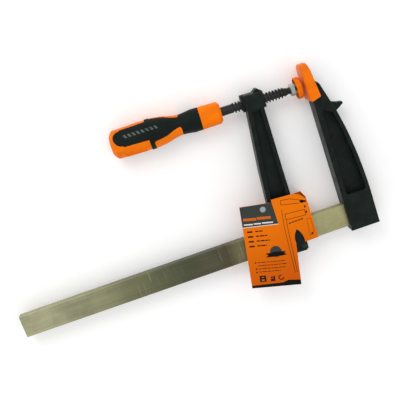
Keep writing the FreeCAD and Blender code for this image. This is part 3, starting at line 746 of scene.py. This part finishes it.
@dataclass
class Handle:
    """The two-part handle: its core and grip, print on the front strip and ribs in the windows."""

    lean: float = math.radians(2.0)
    turn: float = math.radians(27.0)
    reach: float = 0.05
    print_lift: float = 0.00006
    root: float = 0.00008
    bar_first: float = 0.1420
    bar_pitch: float = 0.0042
    bar_count: int = 8
    bar_long: float = 0.0022
    bar_half: float = 0.0016
    bar_slant: float = 0.0009
    rib_front: float = 0.1555
    rib_back: float = 0.1760
    rib_wide: float = 0.00055
    rib_high: float = 0.00028
    rib_pitch: float = 0.095
    rib_count: int = 9

    def build(self) -> None:
        """Dress the CAD nodes and add the print and the ribs."""
        dress("handle_core", ORANGE)
        dress("handle_grip", SOFT_BLACK)
        self.print_bars()
        for side in (-1, 1):
            self.raise_ribs(side)

    @property
    def axes(self) -> Matrix:
        """The handle's own directions: its lean on the arm, then its turn on the spindle."""
        return Matrix.Rotation(-self.lean, 3, "Z") @ Matrix.Rotation(-self.turn, 3, "X")

    def skin(self, node: str) -> BVHTree:
        """A CAD node's surface, ready to be dropped onto.

        Args:
            node: the node's name.

        Returns:
            The surface's search tree.
        """
        shape = bmesh.new()
        shape.from_mesh(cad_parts[node].data)
        tree = BVHTree.FromBMesh(shape)
        shape.free()
        return tree

    def on_skin(self, tree: BVHTree, back: float, angle: float, lift: float) -> Vector:
        """A point on the handle's surface.

        Args:
            tree: the surface.
            back: its distance behind the pad, along the spindle.
            angle: its angle from the middle of the front strip.
            lift: how far it stands off the surface.

        Returns:
            The point in the frame.
        """
        axis = self.axes @ Vector((-back, 0.0, 0.0))
        outward = self.axes @ Vector((0.0, math.sin(angle), math.cos(angle)))
        hit = tree.ray_cast(axis + outward * self.reach, -outward)[0]
        return hit + outward * lift

    def radius(self, tree: BVHTree, back: float, angle: float) -> float:
        """How far the surface stands from the handle's axis.

        Args:
            tree: the surface.
            back: the distance behind the pad.
            angle: the angle from the middle of the front strip.

        Returns:
            The radius in metres.
        """
        return (self.on_skin(tree, back, angle, 0.0) - self.axes @ Vector((-back, 0.0, 0.0))).length

    def lay_pad(self, shape: bmesh.types.BMesh, tree: BVHTree, along: Callable[[float, float], float],
                round_it: Callable[[float], float], crown: Callable[[float], float]) -> None:
        """Add a thin closed pad that follows the surface.

        Args:
            shape: the mesh it joins.
            tree: the surface.
            along: gives the distance behind the pad for a place (x, y) on a unit square.
            round_it: gives the angle round the handle for y.
            crown: gives the height off the surface for y.
        """
        low = bmesh.ops.create_grid(shape, x_segments=10, y_segments=4, size=0.5)["verts"]
        faces = list({face for vert in low for face in vert.link_faces})
        raised = bmesh.ops.extrude_face_region(shape, geom=faces, use_keep_orig=True)["geom"]
        high = [item for item in raised if isinstance(item, bmesh.types.BMVert)]
        for verts, share in ((low, 0.0), (high, 1.0)):
            for vert in verts:
                x, y = vert.co.x, vert.co.y
                lift = crown(y) if share else -self.root
                vert.co = self.on_skin(tree, along(x, y), round_it(y), lift)

    def print_bars(self) -> None:
        """Plain slanted bars in a row along the front strip."""
        tree = self.skin("handle_grip")
        shape = bmesh.new()
        for index in range(self.bar_count):
            first = self.bar_first + index * self.bar_pitch
            wide = self.radius(tree, first, 0.0)
            self.lay_pad(shape, tree,
                         lambda x, y, first=first: first + x * self.bar_long + y * 2 * self.bar_slant,
                         lambda y, wide=wide: y * 2 * self.bar_half / wide,
                         lambda y: self.print_lift)
        finish_piece("handle_print_bars", shape, GRIP_PRINT, "screw")

    def raise_ribs(self, side: int) -> None:
        """Fine lengthwise ribs in one of the rear windows.

        Args:
            side: -1 for the window below the front strip, 1 for the one above it.
        """
        tree = self.skin("handle_core")
        shape = bmesh.new()
        long = self.rib_back - self.rib_front
        middle = side * math.pi / 2
        wide = self.radius(tree, self.rib_front, middle)
        for index in range(self.rib_count):
            angle = middle + (index - (self.rib_count - 1) / 2) * self.rib_pitch
            self.lay_pad(shape, tree,
                         lambda x, y: self.rib_front + (x + 0.5) * long,
                         lambda y, angle=angle: angle + y * self.rib_wide / wide,
                         lambda y: self.rib_high * (1 - 3 * y * y))
        name = "handle_ribs_low" if side < 0 else "handle_ribs_high"
        finish_piece(name, shape, ORANGE, "screw")


# ---------------------------------------------------------------- hang card


@dataclass
class HangCard:
    """The folded card's plain printed artwork, laid out on its long panel.

    Places are (along the panel's top edge, down its side) in millimetres from its top left corner.
    """

    corner: Point = (-93.2, -86.4)
    across: Point = (46.5, -12.4)
    down: Point = (-13.2, -80.9)
    face: float = 13.6
    gap: float = 0.03
    ink: float = 0.03
    panel_wide: float = 48.1
    panel_high: float = 82.0
    header_low: float = 20.0
    header_right: float = 34.4
    pale_bars: Sequence[Point] = ((1.6, 8.6), (11.2, 6.8), (19.0, 10.6))
    warm_bars: Sequence[Point] = ((1.8, 12.4), (14.9, 13.2))
    size_rows: Sequence[float] = (7.0, 11.6, 12.7, 9.2)
    size_first: float = 24.9
    size_pitch: float = 4.85
    list_rows: Sequence[float] = (26.2, 27.8, 25.6, 21.0)
    list_first: float = 56.2
    list_pitch: float = 3.2
    badge_centre: Point = (28.2, 46.4)
    badge_rad: float = 5.6
    sign_high: float = 73.0
    ring_steps: int = 14
    ring_rad: float = 2.3
    line: float = 0.42

    def build(self) -> None:
        """Dress the card and its rivet, and lay the artwork on its front."""
        dress("hang_card", CARD)
        for node in Part.RIVET.value:
            dress(node, RIVET)
        self.header()
        self.lines_of_print()
        self.badge()
        self.pictograms()
        self.foot_strip()
        self.drawing()

    def spot(self, over: float, low: float, layer: int = 0) -> Vector:
        """A place on the card's front.

        Args:
            over: millimetres along the panel's top edge.
            low: millimetres down its side.
            layer: how many layers of ink lie under it.

        Returns:
            The point in the frame, in metres.
        """
        along, side = Vector(self.across).normalized(), Vector(self.down).normalized()
        flat = Vector(self.corner) + over * along + low * side
        height = self.face + self.gap + layer * (self.ink + self.gap)
        return Vector((flat.x, flat.y, height)) * MM

    def patch(self, shape: bmesh.types.BMesh, corners: Sequence[Point], layer: int = 0) -> None:
        """Add a flat patch of ink.

        Args:
            shape: the mesh it joins.
            corners: its outline in the panel's millimetres.
            layer: how many layers of ink lie under it.
        """
        add_plate(shape, [self.spot(*corner, layer) for corner in corners], Vector((0, 0, self.ink * MM)))

    def bar(self, shape: bmesh.types.BMesh, start: Point, long: float, high: float, layer: int = 0) -> None:
        """Add a bar of ink that runs along the panel.

        Args:
            shape: the mesh it joins.
            start: the middle of its left end.
            long: its length.
            high: its height.
            layer: how many layers of ink lie under it.
        """
        over, low = start
        half = high / 2
        upper, lower, stop = low - half, low + half, over + long
        self.patch(shape, [(over, upper), (stop, upper), (stop, lower), (over, lower)], layer)

    def stroke(self, shape: bmesh.types.BMesh, start: Point, stop: Point, wide: float) -> None:
        """Add a straight line of ink.

        Args:
            shape: the mesh it joins.
            start: one end.
            stop: the other end.
            wide: its width.
        """
        first, last = Vector(start), Vector(stop)
        side = (last - first).normalized().orthogonal() * wide / 2
        self.patch(shape, [tuple(first - side), tuple(last - side), tuple(last + side), tuple(first + side)])

    def disc(self, shape: bmesh.types.BMesh, centre: Point, radius: float, teeth: int = 0, layer: int = 0,
             steps: int = 40) -> None:
        """Add a round patch, plain or with a toothed rim.

        Args:
            shape: the mesh it joins.
            centre: its middle.
            radius: its radius.
            teeth: how many teeth its rim has.
            layer: how many layers of ink lie under it.
            steps: how many corners its outline has.
        """
        outline = []
        for index in range(steps):
            angle = 2 * math.pi * index / steps
            reach = radius * (1 + 0.045 * math.cos(teeth * angle)) if teeth else radius
            outline.append((centre[0] + reach * math.cos(angle), centre[1] + reach * math.sin(angle)))
        self.patch(shape, outline, layer)

    def header(self) -> None:
        """The dark head of the panel, its rule and its plain bars."""
        slate, pale, warm = bmesh.new(), bmesh.new(), bmesh.new()
        low, right = self.header_low, self.header_right
        self.patch(slate, [(0.02, 0.02), (31.0, -2.3), (right, low - 1.2), (0.1, low)])
        self.patch(pale, [(0.1, low), (right, low - 1.2), (right + 0.1, low - 0.6), (0.1, low + 0.6)])
        for start, long in self.pale_bars:
            self.bar(pale, (start, 17.6 - start * 0.035), long, 1.25, layer=1)
        for start, long in self.warm_bars:
            self.bar(warm, (start, 12.6 - start * 0.04), long, 2.5, layer=1)
        finish_piece("card_header", slate, SLATE_INK, "arm")
        finish_piece("card_header_pale", pale, PALE_INK, "arm")
        finish_piece("card_header_warm", warm, WARM_INK, "arm")

    def lines_of_print(self) -> None:
        """Rows of plain dashes that stand in for print."""
        dark = bmesh.new()
        for row, long in enumerate(self.size_rows):
            low = self.size_first + self.size_pitch * row
            self.bar(dark, (3.6, low), 5.2, 1.5)
            self.dashes(dark, (11.4, low - 0.2), long, 1.15, (3.0, 4.1, 2.3))
        for row, long in enumerate(self.list_rows):
            low = self.list_first + self.list_pitch * row
            self.dashes(dark, (9.2, low), long, 0.62, (2.6, 4.4, 3.4, 1.8, 3.9))
            if row != 1:
                self.disc(dark, (7.0, low), 0.75)
        finish_piece("card_lines", dark, DARK_INK, "arm")

    def dashes(self, shape: bmesh.types.BMesh, start: Point, long: float, high: float,
               lengths: Sequence[float]) -> None:
        """Add a row of dashes of a few lengths.

        Args:
            shape: the mesh they join.
            start: the middle of the first one's left end.
            long: how long the row is.
            high: their height.
            lengths: the dashes' lengths, used in turn.
        """
        over, low = start
        stop, turn = over + long, 0
        while over < stop - 0.6:
            dash = min(lengths[turn % len(lengths)], stop - over)
            self.bar(shape, (over, low), dash, high)
            over += dash + 0.7
            turn += 1

    def badge(self) -> None:
        """A toothed round badge with a ribbon across it."""
        slate, dark = bmesh.new(), bmesh.new()
        self.disc(slate, self.badge_centre, self.badge_rad, teeth=20, steps=120)
        ribbon = [
            (17.8, 47.9), (20.6, 49.9), (17.4, 51.6), (23.6, 51.5), (33.4, 51.0), (38.4, 50.1),
            (35.9, 48.4), (38.0, 46.8), (28.2, 46.5),
        ]
        self.patch(dark, ribbon, layer=1)
        finish_piece("card_badge", slate, SLATE_INK, "arm")
        finish_piece("card_ribbon", dark, DARK_INK, "arm")

    def pictograms(self) -> None:
        """Three small plain signs: a tile, an upright stack and a broken ring."""
        dark, warm = bmesh.new(), bmesh.new()
        self.bar(dark, (8.7, self.sign_high), 6.2, 6.2)
        self.bar(warm, (10.4, 71.6), 2.8, 0.8, layer=1)
        self.bar(warm, (10.4, 74.4), 2.8, 1.4, layer=1)
        for over, low, long, high in ((19.2, 75.0, 2.6, 2.4), (22.0, 73.6, 1.5, 5.4), (19.8, 72.4, 1.4, 2.2)):
            self.bar(dark, (over, low), long, high)
        for index in range(self.ring_steps - 3):
            angles = [2 * math.pi * (index + more) / self.ring_steps for more in (0.0, 1.0)]
            ends = [(29.6 + self.ring_rad * math.cos(angle), self.sign_high + self.ring_rad * math.sin(angle))
                    for angle in angles]
            self.stroke(dark, ends[0], ends[1], 0.95)
        finish_piece("card_signs", dark, DARK_INK, "arm")
        finish_piece("card_signs_warm", warm, WARM_INK, "arm")

    def foot_strip(self) -> None:
        """The dark strip along the panel's foot, wider on its right."""
        dark = bmesh.new()
        low, right = self.panel_high - 0.1, self.panel_wide - 0.1
        self.patch(dark, [(0.1, low), (right, low), (right, 77.0), (36.0, 76.3), (31.0, 78.4), (0.1, 79.3)])
        finish_piece("card_foot_strip", dark, DARK_INK, "arm")

    def drawing(self) -> None:
        """The line drawing of a clamp's parts on the snug panel."""
        dark = bmesh.new()
        bar_sides = [[(42.6, 16.0), (42.9, 26.0), (46.0, 69.0)], [(39.4, 5.6), (39.6, 23.0), (43.9, 69.6)]]
        box = [(42.0, 10.1), (61.2, 7.0), (61.6, 12.4), (42.3, 15.8), (42.0, 10.1)]
        arm = [(58.0, -2.6), (48.0, -4.6), (39.6, -3.4), (39.2, 0.8), (57.0, 0.4)]
        for route in (*bar_sides, box, arm):
            for start, stop in zip(route, route[1:]):
                self.stroke(dark, start, stop, self.line)
        self.disc(dark, (59.6, -1.2), 1.7)
        self.bar(dark, (57.6, -1.2), 6.0, 1.9)
        for over, low in ((61.2, 4.0), (61.9, 9.4), (65.0, 31.2)):
            self.bar(dark, (over, low), 1.3, 2.2)
        for index in range(5):
            over = 44.3 + 3.0 * index
            self.stroke(dark, (over, 19.6 - 0.8 * index), (over + 2.2, 19.0 - 0.8 * index), 1.05)
        frame_route = [(61.9, 16.3), (65.9, 15.7), (67.6, 29.6), (63.4, 33.0), (61.9, 16.3)]
        for start, stop in zip(frame_route, frame_route[1:]):
            self.broken_stroke(dark, start, stop)
        finish_piece("card_drawing", dark, DARK_INK, "arm")

    def broken_stroke(self, shape: bmesh.types.BMesh, start: Point, stop: Point) -> None:
        """Add a dashed line.

        Args:
            shape: the mesh it joins.
            start: one end.
            stop: the other end.
        """
        first, last = Vector(start), Vector(stop)
        count = max(1, round((last - first).length / 2.2))
        for index in range(count):
            ends = [first.lerp(last, (index + share) / count) for share in (0.1, 0.72)]
            self.stroke(shape, tuple(ends[0]), tuple(ends[1]), self.line)


# ---------------------------------------------------------------- studio


@dataclass
class Shoot:
    """The camera, the lights and the floor."""

    eye: tuple[float, float, float] = (-0.1154, 0.0826, 0.6442)
    right: tuple[float, float, float] = (0.94393, -0.32436, 0.06149)
    up: tuple[float, float, float] = (0.32976, 0.91740, -0.22281)
    back: tuple[float, float, float] = (0.01586, 0.23060, 0.97292)
    lens: float = 62.3
    aim: tuple[float, float, float] = (-0.12, -0.08, 0.0)
    floor_size: float = 8.0
    floor_drop: float = 0.0002
    sky: float = 0.88

    def build(self) -> None:
        """Set up the camera, the floor, the sky and the lamps."""
        self.place_camera()
        self.lay_floor()
        self.light()

    def place_camera(self) -> None:
        """Put the camera where it looks down on the clamp."""
        camera = bpy.data.cameras.new("camera")
        camera.lens = self.lens
        camera.clip_start = 0.01
        holder = bpy.data.objects.new("camera", camera)
        axes = Matrix((self.right, self.up, self.back)).transposed()
        holder.matrix_world = Matrix.Translation(self.eye) @ axes.to_4x4()
        bpy.context.scene.collection.objects.link(holder)
        bpy.context.scene.camera = holder

    def lay_floor(self) -> None:
        """A wide pale floor just under the clamp."""
        mesh = bpy.data.meshes.new("floor")
        shape = bmesh.new()
        bmesh.ops.create_grid(shape, x_segments=1, y_segments=1, size=self.floor_size / 2)
        bmesh.ops.translate(shape, verts=shape.verts, vec=(0, 0, CAD_BOX[0][2] - self.floor_drop))
        shape.to_mesh(mesh)
        shape.free()
        mesh.materials.append(Studio("floor_paper").material())
        floor = bpy.data.objects.new("floor", mesh)
        bpy.context.scene.collection.objects.link(floor)

    def light(self) -> None:
        """A pale sky and three soft lamps."""
        world = bpy.data.worlds.new("sky")
        world.use_nodes = True
        sky = world.node_tree.nodes["Background"]
        sky.inputs["Color"].default_value = (1.0, 1.0, 1.0, 1.0)
        sky.inputs["Strength"].default_value = self.sky
        bpy.context.scene.world = world
        bpy.context.scene.view_settings.view_transform = "Standard"
        self.lamp("key", (-0.35, 0.75, 0.85), 3.2, 0.5)
        self.lamp("fill", (0.5, -0.7, 0.9), 0.5, 0.8)
        self.lamp("top", (-0.1, 0.1, 1.3), 0.5, 0.9)

    def lamp(self, name: str, spot: Sequence[float], watts: float, size: float) -> None:
        """A square soft lamp aimed at the middle of the clamp.

        Args:
            name: the lamp's name.
            spot: where it hangs.
            watts: its power.
            size: its width in metres.
        """
        light = bpy.data.lights.new(name, "AREA")
        light.energy = watts
        light.size = size
        holder = bpy.data.objects.new(name, light)
        aim = Vector(self.aim) - Vector(spot)
        holder.matrix_world = Matrix.Translation(spot) @ aim.to_track_quat("-Z", "Y").to_matrix().to_4x4()
        bpy.context.scene.collection.objects.link(holder)


def main() -> None:
    """Build the clamp's looks piece by piece."""
    logging.basicConfig(level=logging.INFO)
    Shoot().build()
    for assembly in (Frame(), Arm(), Screw(), Handle(), HangCard()):
        assembly.build()
        log.info("built %s", type(assembly).__name__)


if __name__ == "__main__":
    main()
